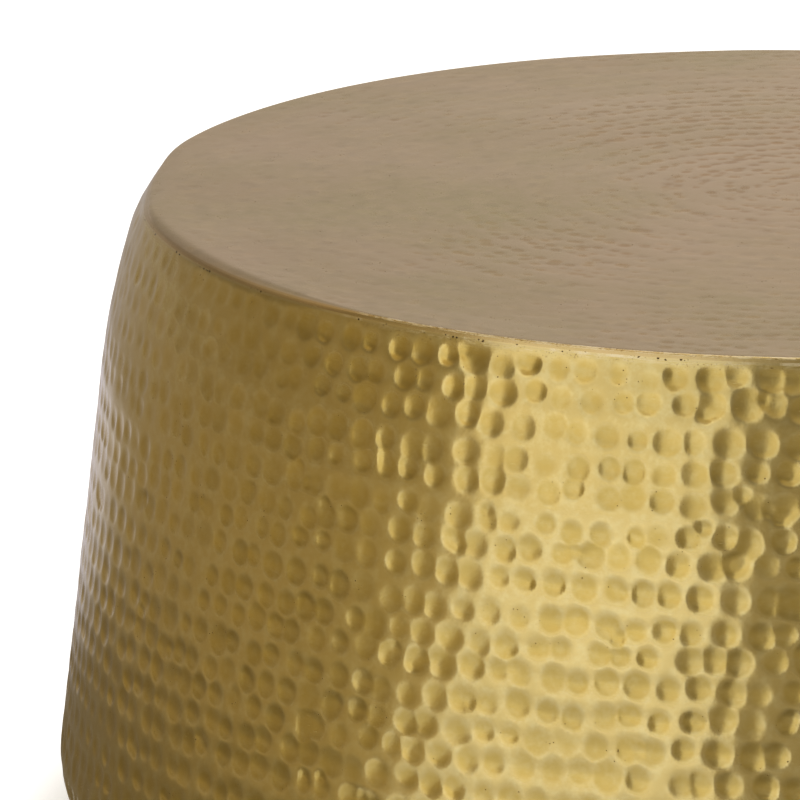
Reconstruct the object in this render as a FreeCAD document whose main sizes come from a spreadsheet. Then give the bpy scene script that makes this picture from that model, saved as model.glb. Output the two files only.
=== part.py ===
import FreeCAD, Part
import Sketcher
import math
import os

# Round coffee table: a hollow drum of hammered sheet metal, open underneath.
# Origin on the floor under the middle of the top, +Z up, millimetres and degrees.

SIZES = {
    # Outer form, from the top edge down
    "overall_height": 345,
    "top_diameter": 673,
    "edge_tilt": 19.5,
    "shoulder_radius": 400,
    "flank_tilt": 6.7,
    "belly_radius": 43,
    # Top sheet, its turned-down lip and the solder under it
    "top_gauge": 1.2,
    "edge_bend": 1,
    "lip_height": 2.4,
    "solder_height": 1.2,
    # Wall panels and the straps behind their seams
    "wall_gauge": 1.2,
    "panel_count": 4,
    "seam_gap": 0.3,
    "seam_turn": 2,
    "strap_width": 40,
    "strap_gauge": 1.2,
    "strap_end_gap": 6,
    # Base ring: lap behind the wall, belly, flange, upturned curb
    "ring_gauge": 1.2,
    "ring_rise": 14,
    "lap_height": 12,
    "flange_width": 32,
    "curb_height": 11,
    # Board under the top, and the hoop that carries it
    "board_thickness": 12,
    "board_gap": 3,
    "hoop_gauge": 3,
    "hoop_ledge": 28,
    "hoop_skirt": 26,
    # Screws, up through the hoop into the board
    "screw_count": 8,
    "screw_diameter": 4,
    "screw_bite": 9,
    "screw_head_diameter": 8.5,
    "screw_head_height": 3,
    # Glides under the flange, and their rivets
    "glide_count": 6,
    "glide_diameter": 28,
    "glide_height": 8,
    "glide_chamfer": 1.5,
    "glide_web": 3,
    "rivet_diameter": 4,
    "rivet_head_diameter": 8,
    "rivet_head_height": 2,
    # Clearances
    "sheet_clearance": 0.3,
    "hole_clearance": 0.15,
    "recess_clearance": 2,
}

# Places worked out from the sizes. A reach is a distance from the axis, the rest are heights,
# radii of arcs or angles. A place may use the places above it.
PLACES = {
    # Top edge: a bend into the lip
    "top_reach": "Dims.top_diameter / 2",
    "top_underside": "Dims.overall_height - Dims.top_gauge",
    "bend_reach": "top_reach - Dims.edge_bend",
    "bend_foot": "Dims.overall_height - Dims.edge_bend",
    "lip_inner_reach": "top_reach - Dims.top_gauge",
    "lip_foot": "Dims.overall_height - Dims.lip_height",
    # Solder: a low ridge, between the lip and the step of the wall
    "solder_middle": "lip_foot - Dims.solder_height / 2",
    "solder_reach": "top_reach + Dims.solder_height / 2",
    # Neck: the top of the wall, stepped in behind the lip
    "neck_reach": "lip_inner_reach - Dims.sheet_clearance",
    "neck_inner_reach": "neck_reach - Dims.wall_gauge",
    "neck_top": "top_underside - Dims.sheet_clearance",
    # Shoulder: an arc from under the solder into the straight flank
    "wall_top": "lip_foot - Dims.solder_height",
    "shoulder_centre_reach": "top_reach - Dims.shoulder_radius * cos(Dims.edge_tilt)",
    "shoulder_centre": "wall_top - Dims.shoulder_radius * sin(Dims.edge_tilt)",
    "shoulder_inner_radius": "Dims.shoulder_radius - Dims.wall_gauge",
    "step_underside": "wall_top - Dims.wall_gauge",
    "step_reach": "shoulder_centre_reach"
                  " + sqrt(shoulder_inner_radius ^ 2 - (step_underside - shoulder_centre) ^ 2)",
    "flank_top_reach": "shoulder_centre_reach + Dims.shoulder_radius * cos(Dims.flank_tilt)",
    "flank_top": "shoulder_centre + Dims.shoulder_radius * sin(Dims.flank_tilt)",
    "flank_inner_reach": "shoulder_centre_reach + shoulder_inner_radius * cos(Dims.flank_tilt)",
    "flank_inner_top": "shoulder_centre + shoulder_inner_radius * sin(Dims.flank_tilt)",
    # Belly: an arc from the foot of the flank round to the flat flange
    "belly_centre": "Dims.glide_height + Dims.belly_radius",
    "belly_top": "belly_centre + Dims.belly_radius * sin(Dims.flank_tilt)",
    "belly_top_reach": "flank_top_reach + (flank_top - belly_top) * tan(Dims.flank_tilt)",
    "belly_centre_reach": "belly_top_reach - Dims.belly_radius * cos(Dims.flank_tilt)",
    "belly_inner_radius": "Dims.belly_radius - Dims.ring_gauge",
    "belly_inner_top": "belly_centre + belly_inner_radius * sin(Dims.flank_tilt)",
    "belly_inner_reach": "belly_centre_reach + belly_inner_radius * cos(Dims.flank_tilt)",
    "flange_top": "Dims.glide_height + Dims.ring_gauge",
    # Foot of the wall, and the lap of the base ring behind it
    "wall_foot": "belly_top + Dims.ring_rise",
    "wall_foot_reach": "flank_top_reach + (flank_top - wall_foot) * tan(Dims.flank_tilt)",
    "wall_foot_inner_reach": "wall_foot_reach - Dims.wall_gauge / cos(Dims.flank_tilt)",
    "lap_inset": "(Dims.wall_gauge + Dims.sheet_clearance) / cos(Dims.flank_tilt)",
    "lap_inner_inset": "lap_inset + Dims.ring_gauge / cos(Dims.flank_tilt)",
    "lap_step": "wall_foot - Dims.sheet_clearance",
    "lap_step_reach": "flank_top_reach + (flank_top - lap_step) * tan(Dims.flank_tilt)",
    "lap_foot_reach": "lap_step_reach - lap_inset",
    "lap_top": "wall_foot + Dims.lap_height",
    "lap_top_reach": "flank_top_reach + (flank_top - lap_top) * tan(Dims.flank_tilt) - lap_inset",
    "lap_top_inner_reach": "lap_top_reach - Dims.ring_gauge / cos(Dims.flank_tilt)",
    "crook_top": "lap_step - Dims.ring_gauge",
    "crook_top_reach": "flank_top_reach + (flank_top - crook_top) * tan(Dims.flank_tilt)"
                       " - lap_inner_inset",
    "crook_foot": "crook_top - 2 * lap_inset",
    "crook_foot_reach": "flank_top_reach + (flank_top - crook_foot) * tan(Dims.flank_tilt)"
                        " - Dims.ring_gauge / cos(Dims.flank_tilt)",
    # Curb: the inner edge of the flange, turned up to stiffen it
    "curb_reach": "belly_centre_reach - Dims.flange_width",
    "curb_outer_reach": "curb_reach + Dims.ring_gauge",
    "curb_top": "Dims.glide_height + Dims.curb_height",
    # Inside face that the hoop and the straps follow
    "liner_radius": "shoulder_inner_radius - Dims.sheet_clearance",
    # Hoop: an angle section under the board
    "hoop_top": "top_underside - Dims.board_thickness",
    "hoop_reach": "shoulder_centre_reach + sqrt(liner_radius ^ 2 - (hoop_top - shoulder_centre) ^ 2)",
    "hoop_mouth_reach": "hoop_reach - Dims.hoop_ledge",
    "ledge_underside": "hoop_top - Dims.hoop_gauge",
    "hoop_inner_radius": "liner_radius - Dims.hoop_gauge",
    "hoop_corner_reach": "shoulder_centre_reach"
                         " + sqrt(hoop_inner_radius ^ 2 - (ledge_underside - shoulder_centre) ^ 2)",
    "hoop_foot": "hoop_top - Dims.hoop_skirt",
    "hoop_foot_reach": "shoulder_centre_reach"
                       " + sqrt(liner_radius ^ 2 - (hoop_foot - shoulder_centre) ^ 2)",
    "hoop_foot_inner_reach": "shoulder_centre_reach"
                             " + sqrt(hoop_inner_radius ^ 2 - (hoop_foot - shoulder_centre) ^ 2)",
    # Board and its screws, in the middle of the ledge
    "board_reach": "neck_inner_reach - Dims.board_gap",
    "screw_reach": "(hoop_mouth_reach + hoop_corner_reach) / 2",
    "screw_foot": "ledge_underside - Dims.screw_head_height",
    "screw_radius": "Dims.screw_diameter / 2",
    "screw_hole_radius": "screw_radius + Dims.hole_clearance",
    "screw_head_radius": "Dims.screw_head_diameter / 2",
    "screw_head_flat": "screw_head_radius - Dims.screw_head_height",
    "screw_tip": "hoop_top + Dims.screw_bite",
    "screw_shoulder": "screw_tip - screw_radius",
    "pilot_depth": "Dims.screw_bite + Dims.hole_clearance",
    # Strap: from under the hoop to above the lap
    "strap_inner_radius": "liner_radius - Dims.strap_gauge",
    "strap_top": "hoop_foot - Dims.strap_end_gap",
    "strap_top_reach": "shoulder_centre_reach"
                       " + sqrt(liner_radius ^ 2 - (strap_top - shoulder_centre) ^ 2)",
    "strap_top_inner_reach": "shoulder_centre_reach"
                             " + sqrt(strap_inner_radius ^ 2 - (strap_top - shoulder_centre) ^ 2)",
    "strap_bend": "shoulder_centre + liner_radius * sin(Dims.flank_tilt)",
    "strap_bend_reach": "shoulder_centre_reach + liner_radius * cos(Dims.flank_tilt)",
    "strap_inner_bend": "shoulder_centre + strap_inner_radius * sin(Dims.flank_tilt)",
    "strap_inner_bend_reach": "shoulder_centre_reach + strap_inner_radius * cos(Dims.flank_tilt)",
    "strap_foot": "lap_top + Dims.strap_end_gap",
    "strap_foot_reach": "flank_top_reach + (flank_top - strap_foot) * tan(Dims.flank_tilt) - lap_inset",
    "strap_foot_inner_reach": "strap_foot_reach - Dims.strap_gauge / cos(Dims.flank_tilt)",
    # Glides and rivets, in the middle of the flange
    "glide_reach": "belly_centre_reach - Dims.flange_width / 2",
    "glide_radius": "Dims.glide_diameter / 2",
    "glide_tread_radius": "glide_radius - Dims.glide_chamfer",
    "web_underside": "Dims.glide_height - Dims.glide_web",
    "rivet_radius": "Dims.rivet_diameter / 2",
    "rivet_hole_radius": "rivet_radius + Dims.hole_clearance",
    "rivet_head_radius": "Dims.rivet_head_diameter / 2",
    "rivet_recess_radius": "rivet_head_radius + Dims.recess_clearance",
    "rivet_head_flat": "rivet_head_radius - Dims.rivet_head_height",
    "rivet_foot": "web_underside - Dims.rivet_head_height",
    "rivet_top": "flange_top + Dims.rivet_head_height",
    # Angles round the drum
    "panel_pitch": "360 / Dims.panel_count",
    "panel_sweep": "panel_pitch - Dims.seam_gap / top_reach * 180 / pi",
    "strap_sweep": "Dims.strap_width / top_reach * 180 / pi",
    "glide_pitch": "360 / Dims.glide_count",
}

doc = FreeCAD.newDocument("coffee_table")
dims = doc.addObject("Spreadsheet::Sheet", "Dims")
places = doc.addObject("Spreadsheet::Sheet", "Places")


def fill_sheet(sheet, contents):
    """One row for each name, with the name as the alias of its cell."""
    for row, (name, content) in enumerate(contents.items(), start=1):
        sheet.set(f"A{row}", name)
        sheet.set(f"B{row}", content)
        sheet.setAlias(f"B{row}", name)


fill_sheet(dims, {name: str(size) for name, size in SIZES.items()})
fill_sheet(places, {name: "=" + formula for name, formula in PLACES.items()})
doc.recompute()


def cell(name):
    """The expression that names a size or a place."""
    return f"Dims.{name}" if name in SIZES else f"Places.{name}"


def value(name):
    """The number that a size or a place has now."""
    sheet = dims if name in SIZES else places
    return float(sheet.get(name))


# Outlines of sections. A corner is (reach, level), and AXIS or FLOOR stands for zero. An edge to
# the next corner is straight, or an arc of a named radius that turns LEFT or RIGHT on its way.
AXIS = None
FLOOR = None
LEFT, RIGHT = "left", "right"

# A sketch counts its own axes down from -1, and the points of an edge up from 1.
HORIZONTAL_AXIS, VERTICAL_AXIS = range(-1, -3, -1)
START, END, CENTRE = range(1, 4)
ORIGIN_POINT = (HORIZONTAL_AXIS, START)


def corner_point(corner):
    reach, level = corner[:2]
    return FreeCAD.Vector(value(reach) if reach else 0, value(level) if level else 0, 0)


def arc_between(begin, end, radius, turn):
    """The arc of less than half a turn between two points. Its own start is the one that turns left."""
    chord = end - begin
    rise = math.sqrt(radius ** 2 - (chord.Length / 2) ** 2) / chord.Length
    to_left = FreeCAD.Vector(-chord.y, chord.x, 0) * rise
    centre = (begin + end) * 0.5 + (to_left if turn == LEFT else -to_left)
    first, last = (begin, end) if turn == LEFT else (end, begin)
    angles = [math.atan2(point.y - centre.y, point.x - centre.x) for point in (first, last)]
    if angles[1] < angles[0]:
        angles[1] += 2 * math.pi
    return Part.ArcOfCircle(Part.Circle(centre, FreeCAD.Vector(0, 0, 1), radius), *angles)


def bind(sketch, constraint, name):
    """Add a constraint whose size follows a cell."""
    index = sketch.addConstraint(constraint)
    sketch.setExpression(f"Constraints[{index}]", cell(name))


def new_body(label):
    body = doc.addObject("PartDesign::Body", label)
    body.Label = label
    return body


def origin_feature(body, role):
    return next(feature for feature in body.Origin.OriginFeatures if feature.Role == role)


def new_sketch(body, name, plane):
    sketch = body.newObject("Sketcher::SketchObject", f"{body.Label}_{name}")
    sketch.AttachmentSupport = [(origin_feature(body, plane), "")]
    sketch.MapMode = "FlatFace"
    return sketch


def draw_section(body, outline):
    """A closed outline in the upright plane of a body, fixed by its corners and its arcs' radii."""
    sketch = new_sketch(body, "section", "XZ_Plane")
    ends = []
    for index, corner in enumerate(outline):
        begin, end = corner_point(corner), corner_point(outline[(index + 1) % len(outline)])
        if len(corner) == 2:
            edge = sketch.addGeometry(Part.LineSegment(begin, end))
            ends.append((edge, START, END))
        else:
            radius, turn = corner[2:]
            edge = sketch.addGeometry(arc_between(begin, end, value(radius), turn))
            ends.append((edge, START, END) if turn == LEFT else (edge, END, START))
            bind(sketch, Sketcher.Constraint("Radius", edge, value(radius)), radius)
    for index, (edge, first, last) in enumerate(ends):
        next_edge, next_first, _ = ends[(index + 1) % len(ends)]
        sketch.addConstraint(Sketcher.Constraint("Coincident", edge, last, next_edge, next_first))
        for name, axis, distance in zip(outline[index], (VERTICAL_AXIS, HORIZONTAL_AXIS),
                                        ("DistanceX", "DistanceY")):
            if name:
                rule = Sketcher.Constraint(distance, *ORIGIN_POINT, edge, first, value(name))
                bind(sketch, rule, name)
            else:
                sketch.addConstraint(Sketcher.Constraint("PointOnObject", edge, first, axis))
    return sketch


def revolve(body, sketch, sweep=None):
    """Turn a section about its upright axis: right round, or evenly to both sides of its plane."""
    turned = body.newObject("PartDesign::Revolution", f"{body.Label}_turned")
    turned.Profile = sketch
    turned.ReferenceAxis = (sketch, ["V_Axis"])
    turned.Angle = 360
    if sweep:
        turned.Midplane = True
        turned.setExpression("Angle", cell(sweep))
    doc.recompute()
    return turned


def draw_hole(body, name, reach, radius):
    """A circle in the floor plane of a body, on its X axis."""
    sketch = new_sketch(body, name, "XY_Plane")
    circle = sketch.addGeometry(Part.Circle(FreeCAD.Vector(value(reach), 0, 0),
                                            FreeCAD.Vector(0, 0, 1), value(radius)))
    sketch.addConstraint(Sketcher.Constraint("PointOnObject", circle, CENTRE, HORIZONTAL_AXIS))
    bind(sketch, Sketcher.Constraint("DistanceX", *ORIGIN_POINT, circle, CENTRE, value(reach)), reach)
    bind(sketch, Sketcher.Constraint("Radius", circle, value(radius)), radius)
    return sketch


def repeat_round(body, feature, count):
    """Repeat a feature evenly round the drum."""
    pattern = body.newObject("PartDesign::PolarPattern", f"{body.Label}_round")
    pattern.Originals = [feature]
    pattern.Axis = (origin_feature(body, "Z_Axis"), [""])
    pattern.Angle = 360
    pattern.setExpression("Occurrences", cell(count))
    body.Tip = pattern
    doc.recompute()


def drill_round(body, reach, radius, count, depth=None):
    """Holes upwards from the floor plane of a body: as deep as named, or right through."""
    volume = body.Shape.Volume
    pocket = body.newObject("PartDesign::Pocket", f"{body.Label}_hole")
    pocket.Profile = draw_hole(body, "hole_circle", reach, radius)
    pocket.Reversed = True
    if depth:
        pocket.Type = "Length"
        pocket.setExpression("Length", cell(depth))
    else:
        pocket.Type = "ThroughAll"
    doc.recompute()
    repeat_round(body, pocket, count)
    if body.Shape.Volume >= volume:
        raise RuntimeError(f"{body.Label}: the holes cut nothing")


def turn_about_axis(body, angle):
    """Turn a piece about the axis of the drum."""
    body.Placement = FreeCAD.Placement(FreeCAD.Vector(), FreeCAD.Vector(0, 0, 1), 1)
    body.setExpression("Placement.Rotation.Angle", angle)


def make_top_sheet():
    """Hammered disc with a rounded edge and a short lip."""
    body = new_body("top_sheet")
    revolve(body, draw_section(body, [
        (AXIS, "overall_height"),
        ("bend_reach", "overall_height", "edge_bend", RIGHT),
        ("top_reach", "bend_foot"),
        ("top_reach", "lip_foot"),
        ("lip_inner_reach", "lip_foot"),
        ("lip_inner_reach", "top_underside"),
        (AXIS, "top_underside"),
    ]))
    return body


def make_solder_seam():
    """Ring of solder between the lip and the wall, with a low ridge outside."""
    body = new_body("solder_seam")
    revolve(body, draw_section(body, [
        ("neck_reach", "lip_foot"),
        ("top_reach", "lip_foot"),
        ("solder_reach", "solder_middle"),
        ("top_reach", "wall_top"),
        ("neck_reach", "wall_top"),
    ]))
    return body


def make_wall_panel(number):
    """Rolled panel: stepped neck behind the lip, curved shoulder, straight flank."""
    body = new_body(f"wall_panel_{number}")
    revolve(body, draw_section(body, [
        ("neck_inner_reach", "neck_top"),
        ("neck_reach", "neck_top"),
        ("neck_reach", "wall_top"),
        ("top_reach", "wall_top", "shoulder_radius", RIGHT),
        ("flank_top_reach", "flank_top"),
        ("wall_foot_reach", "wall_foot"),
        ("wall_foot_inner_reach", "wall_foot"),
        ("flank_inner_reach", "flank_inner_top", "shoulder_inner_radius", LEFT),
        ("step_reach", "step_underside"),
        ("neck_inner_reach", "step_underside"),
    ]), "panel_sweep")
    turn_about_axis(body, f"Dims.seam_turn + Places.panel_pitch * {number - 0.5}")
    return body


def make_seam_strap(number):
    """Strip brazed behind the seam between two panels, along the shoulder and the flank."""
    body = new_body(f"seam_strap_{number}")
    revolve(body, draw_section(body, [
        ("strap_top_inner_reach", "strap_top"),
        ("strap_top_reach", "strap_top", "liner_radius", RIGHT),
        ("strap_bend_reach", "strap_bend"),
        ("strap_foot_reach", "strap_foot"),
        ("strap_foot_inner_reach", "strap_foot"),
        ("strap_inner_bend_reach", "strap_inner_bend", "strap_inner_radius", LEFT),
    ]), "strap_sweep")
    turn_about_axis(body, f"Dims.seam_turn + Places.panel_pitch * {number}")
    return body


def make_base_ring():
    """Spun ring: lap behind the wall, round belly, flat flange, inner edge turned up."""
    body = new_body("base_ring")
    revolve(body, draw_section(body, [
        ("lap_top_inner_reach", "lap_top"),
        ("lap_top_reach", "lap_top"),
        ("lap_foot_reach", "lap_step"),
        ("lap_step_reach", "lap_step"),
        ("belly_top_reach", "belly_top", "belly_radius", RIGHT),
        ("belly_centre_reach", "glide_height"),
        ("curb_reach", "glide_height"),
        ("curb_reach", "curb_top"),
        ("curb_outer_reach", "curb_top"),
        ("curb_outer_reach", "flange_top"),
        ("belly_centre_reach", "flange_top", "belly_inner_radius", LEFT),
        ("belly_inner_reach", "belly_inner_top"),
        ("crook_foot_reach", "crook_foot"),
        ("crook_top_reach", "crook_top"),
    ]))
    drill_round(body, "glide_reach", "rivet_hole_radius", "glide_count")
    return body


def make_support_hoop():
    """Rolled angle: a skirt along the inside of the shoulder and a level ledge."""
    body = new_body("support_hoop")
    revolve(body, draw_section(body, [
        ("hoop_mouth_reach", "hoop_top"),
        ("hoop_reach", "hoop_top", "liner_radius", RIGHT),
        ("hoop_foot_reach", "hoop_foot"),
        ("hoop_foot_inner_reach", "hoop_foot", "hoop_inner_radius", LEFT),
        ("hoop_corner_reach", "ledge_underside"),
        ("hoop_mouth_reach", "ledge_underside"),
    ]))
    drill_round(body, "screw_reach", "screw_hole_radius", "screw_count")
    return body


def make_backing_board():
    """Fibreboard disc between the hoop and the top sheet, with pilot holes from below."""
    body = new_body("backing_board")
    sketch = new_sketch(body, "disc", "XY_Plane")
    circle = sketch.addGeometry(Part.Circle(FreeCAD.Vector(), FreeCAD.Vector(0, 0, 1),
                                            value("board_reach")))
    sketch.addConstraint(Sketcher.Constraint("Coincident", circle, CENTRE, *ORIGIN_POINT))
    bind(sketch, Sketcher.Constraint("Radius", circle, value("board_reach")), "board_reach")
    disc = body.newObject("PartDesign::Pad", "backing_board_disc")
    disc.Profile = sketch
    disc.setExpression("Length", cell("board_thickness"))
    doc.recompute()
    drill_round(body, "screw_reach", "screw_hole_radius", "screw_count", "pilot_depth")
    body.setExpression("Placement.Base.z", cell("hoop_top"))
    return body


def make_round_group(label, outline, reach, count):
    """Like pieces round the drum, each turned about its own upright axis."""
    body = new_body(label)
    sketch = draw_section(body, outline)
    sketch.setExpression("AttachmentOffset.Base.x", cell(reach))
    repeat_round(body, revolve(body, sketch), count)
    return body


def make_board_screws():
    """Screws with a tapered head and a pointed end."""
    return make_round_group("board_screws", [
        (AXIS, "screw_foot"),
        ("screw_head_flat", "screw_foot"),
        ("screw_head_radius", "ledge_underside"),
        ("screw_radius", "ledge_underside"),
        ("screw_radius", "screw_shoulder"),
        (AXIS, "screw_tip"),
    ], "screw_reach", "screw_count")


def make_glide(number):
    """Plastic foot with a chamfered tread and a recess for the rivet's head."""
    body = new_body(f"glide_{number}")
    sketch = draw_section(body, [
        ("rivet_hole_radius", "web_underside"),
        ("rivet_recess_radius", "web_underside"),
        ("rivet_recess_radius", FLOOR),
        ("glide_tread_radius", FLOOR),
        ("glide_radius", "glide_chamfer"),
        ("glide_radius", "glide_height"),
        ("rivet_hole_radius", "glide_height"),
    ])
    sketch.setExpression("AttachmentOffset.Base.x", cell("glide_reach"))
    revolve(body, sketch)
    turn_about_axis(body, f"Places.glide_pitch * {number - 1}")
    return body


def make_glide_rivets():
    """Rivets through the glides and the flange, with a tapered head at each end."""
    return make_round_group("glide_rivets", [
        (AXIS, "rivet_foot"),
        ("rivet_head_flat", "rivet_foot"),
        ("rivet_head_radius", "web_underside"),
        ("rivet_radius", "web_underside"),
        ("rivet_radius", "flange_top"),
        ("rivet_head_radius", "flange_top"),
        ("rivet_head_flat", "rivet_top"),
        (AXIS, "rivet_top"),
    ], "glide_reach", "glide_count")


seams = range(1, int(value("panel_count")) + 1)
feet = range(1, int(value("glide_count")) + 1)
pieces = [make_top_sheet(), make_solder_seam()]
pieces += [make_wall_panel(number) for number in seams]
pieces += [make_seam_strap(number) for number in seams]
pieces += [make_base_ring(), make_support_hoop(), make_backing_board(), make_board_screws()]
pieces += [make_glide(number) for number in feet]
pieces += [make_glide_rivets()]
doc.recompute()

for item in doc.Objects:
    if "Invalid" in item.State or "Error" in item.State:
        raise RuntimeError(f"{item.Label} failed: {item.State}")
for piece in pieces:
    if piece.Shape.isNull() or not piece.Shape.isValid():
        raise RuntimeError(f"{piece.Label} has no valid shape")

os.makedirs("parts", exist_ok=True)
for piece in pieces:
    piece.Shape.exportStep(f"parts/{piece.Label}.step")
    print(f"{piece.Label}: {len(piece.Shape.Solids)} solid(s), {piece.Shape.Volume / 1000:.1f} cm3")
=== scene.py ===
import math
from collections import namedtuple

import bmesh
import bpy
import numpy as np
from mathutils import Matrix, Vector
from mathutils.kdtree import KDTree


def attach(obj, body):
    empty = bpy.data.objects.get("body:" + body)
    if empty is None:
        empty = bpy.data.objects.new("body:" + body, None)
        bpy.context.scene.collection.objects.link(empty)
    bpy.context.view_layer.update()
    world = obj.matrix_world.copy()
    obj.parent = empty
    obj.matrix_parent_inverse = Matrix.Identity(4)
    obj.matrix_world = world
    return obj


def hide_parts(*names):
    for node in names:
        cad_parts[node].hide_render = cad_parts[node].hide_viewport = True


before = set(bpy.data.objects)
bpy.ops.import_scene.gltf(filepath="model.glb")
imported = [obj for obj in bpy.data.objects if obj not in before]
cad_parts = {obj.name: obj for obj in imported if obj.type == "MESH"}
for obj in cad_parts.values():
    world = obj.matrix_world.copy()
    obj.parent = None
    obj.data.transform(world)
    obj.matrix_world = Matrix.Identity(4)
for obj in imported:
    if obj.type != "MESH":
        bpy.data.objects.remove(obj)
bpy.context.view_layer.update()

# Round coffee table: a hollow drum of hand-hammered sheet brass. Metres, origin on the floor, +Z up.


# Wall panels
# Four panels of 1.2 mm sheet brass, rolled to a curved shoulder and a straight flank that leans out.
# Each is hammered all over from outside, in level rows, and has a neck stepped in behind the top's lip.
# Their upright butt seams are brazed shut to a hairline.

TOP_LEVEL = 0.345
TOP_RADIUS = 0.3365
WALL_TOP = 0.3414
NECK_TOP = 0.3435
NECK_RADIUS = 0.335
SHEET = 0.0012
EDGE_TILT = math.radians(19.5)
SHOULDER_RADIUS = 0.400
FLANK_TILT = math.radians(6.7)
BELLY_RADIUS = 0.043
FLANGE_LEVEL = 0.008
WALL_FOOT_RISE = 0.014
PANEL_COUNT = 4
FIRST_SEAM_TURN = math.radians(2)
SEAM_GAP = 0.00005
SMOOTH_BAND = 0.005


def on_arc(centre, radius, tilt):
    """The point of an upright arc whose normal rises by the tilt."""
    return centre + radius * Vector((math.cos(tilt), 0, math.sin(tilt)))


shoulder_centre = Vector((TOP_RADIUS, 0, WALL_TOP)) - on_arc(Vector(), SHOULDER_RADIUS, EDGE_TILT)
flank_top = on_arc(shoulder_centre, SHOULDER_RADIUS, FLANK_TILT)
flank_slope = Vector((math.tan(FLANK_TILT), 0, -1))
belly_top_level = FLANGE_LEVEL + BELLY_RADIUS + BELLY_RADIUS * math.sin(FLANK_TILT)
belly_top = flank_top + flank_slope * (flank_top.z - belly_top_level)
belly_centre = belly_top - on_arc(Vector(), BELLY_RADIUS, FLANK_TILT)
wall_foot = belly_top - flank_slope * WALL_FOOT_RISE


def draw_line(bm, start, parts, **turn):
    """Edges from a vertex, by even steps of a turn or a move. Returns the end vertex."""
    line = bmesh.ops.spin(bm, geom=[start], steps=parts, axis=(0, 1, 0), **turn)
    return next(item for item in line["geom_last"] if isinstance(item, bmesh.types.BMVert))


def draw_run(bm, start, end, parts=1):
    """Straight edges from a vertex to a point. Returns the vertex there."""
    return draw_line(bm, start, parts, dvec=(Vector(end) - start.co) / parts)


def draw_arc(bm, start, centre, turn, parts):
    """Edges round a centre in the upright plane, down for a turn above zero. Returns the end vertex."""
    return draw_line(bm, start, parts, cent=centre, angle=turn)


MERGE_DISTANCE = 1e-6


def turn_round(bm, sweep, steps, copies):
    """Turn a drawn section about the axis: a part of the sweep is spun, the others are copies of it."""
    part = sweep / copies
    bmesh.ops.spin(bm, geom=bm.verts[:] + bm.edges[:], cent=(0, 0, 0), axis=(0, 0, 1), angle=part,
                   steps=steps // copies)
    spun = bm.verts[:] + bm.edges[:] + bm.faces[:]
    for number in range(1, copies):
        made = bmesh.ops.duplicate(bm, geom=spun)["geom"]
        bmesh.ops.rotate(bm, verts=[item for item in made if isinstance(item, bmesh.types.BMVert)],
                         cent=(0, 0, 0), matrix=Matrix.Rotation(part * number, 3, "Z"))
    bmesh.ops.remove_doubles(bm, verts=bm.verts, dist=MERGE_DISTANCE)


SHARP_ANGLE = math.radians(42)


def new_piece(bm, name):
    """Object of a finished mesh, smooth but for its corners."""
    bmesh.ops.recalc_face_normals(bm, faces=bm.faces)
    mesh = bpy.data.meshes.new(name)
    bm.to_mesh(mesh)
    bm.free()
    mesh.shade_smooth()
    mesh.set_sharp_from_angle(angle=SHARP_ANGLE)
    piece = bpy.data.objects.new(name, mesh)
    bpy.context.scene.collection.objects.link(piece)
    return piece


def smooth_step(values, low, high):
    """From nought at the low value to one at the high value."""
    share = np.clip((values - low) / (high - low), 0, 1)
    return share * share * (3 - 2 * share)


PANEL_STEPS, PANEL_COPIES = 424, 8
SHOULDER_PARTS, FLANK_PARTS, LINING_PARTS = 67, 139, 4


def build_wall_panel(number):
    """One panel: its section drawn as a closed line, turned about the axis and shut at its two ends."""
    bm = bmesh.new()
    struck = bm.verts.layers.float.new("struck")
    step = bm.verts.new((TOP_RADIUS, 0, WALL_TOP))
    shoulder_end = draw_arc(bm, step, shoulder_centre, EDGE_TILT - FLANK_TILT, SHOULDER_PARTS)
    foot = draw_run(bm, shoulder_end, wall_foot, FLANK_PARTS)
    for vertex in bm.verts:
        vertex[struck] = smooth_step(vertex.co.z, WALL_TOP, WALL_TOP - SMOOTH_BAND)
    inside_foot = draw_run(bm, foot, wall_foot - Vector((SHEET / math.cos(FLANK_TILT), 0, 0)))
    inside_bend = draw_run(bm, inside_foot, on_arc(shoulder_centre, SHOULDER_RADIUS - SHEET, FLANK_TILT))
    step_tilt = math.asin((WALL_TOP - SHEET - shoulder_centre.z) / (SHOULDER_RADIUS - SHEET))
    inside_step = draw_arc(bm, inside_bend, shoulder_centre, FLANK_TILT - step_tilt, LINING_PARTS)
    neck_inside = draw_run(bm, inside_step, (NECK_RADIUS - SHEET, 0, WALL_TOP - SHEET))
    neck_top_inside = draw_run(bm, neck_inside, (NECK_RADIUS - SHEET, 0, NECK_TOP))
    neck_top = draw_run(bm, neck_top_inside, (NECK_RADIUS, 0, NECK_TOP))
    neck_foot = draw_run(bm, neck_top, (NECK_RADIUS, 0, WALL_TOP))
    bm.edges.new((neck_foot, step))
    pitch = 2 * math.pi / PANEL_COUNT
    sweep = pitch - SEAM_GAP / TOP_RADIUS
    first = FIRST_SEAM_TURN + pitch * (number - 1) + (pitch - sweep) / 2
    bmesh.ops.rotate(bm, verts=bm.verts, cent=(0, 0, 0), matrix=Matrix.Rotation(first, 3, "Z"))
    turn_round(bm, sweep, PANEL_STEPS, PANEL_COPIES)
    bmesh.ops.holes_fill(bm, edges=[edge for edge in bm.edges if edge.is_boundary], sides=0)
    return new_piece(bm, f"hammered_wall_{number}")


# A blow of the hammer leaves a shallow dish: its middle, the directions along and up the sheet, its half
# sizes that way, its depth, how it leans to one side, and a shade of its own.
Blow = namedtuple("Blow", "middle along up half_width half_height depth lean_along lean_up shade")

# A way of hammering: its rows, the run down the section to the first, the distances between rows and
# between blows, a blow's half sizes and depth, how it leans up the sheet, and how far a row wanders.
Hammering = namedtuple("Hammering", "rows first_run row_pitch blow_pitch half_width half_height depth"
                                    " lean wander")

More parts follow.
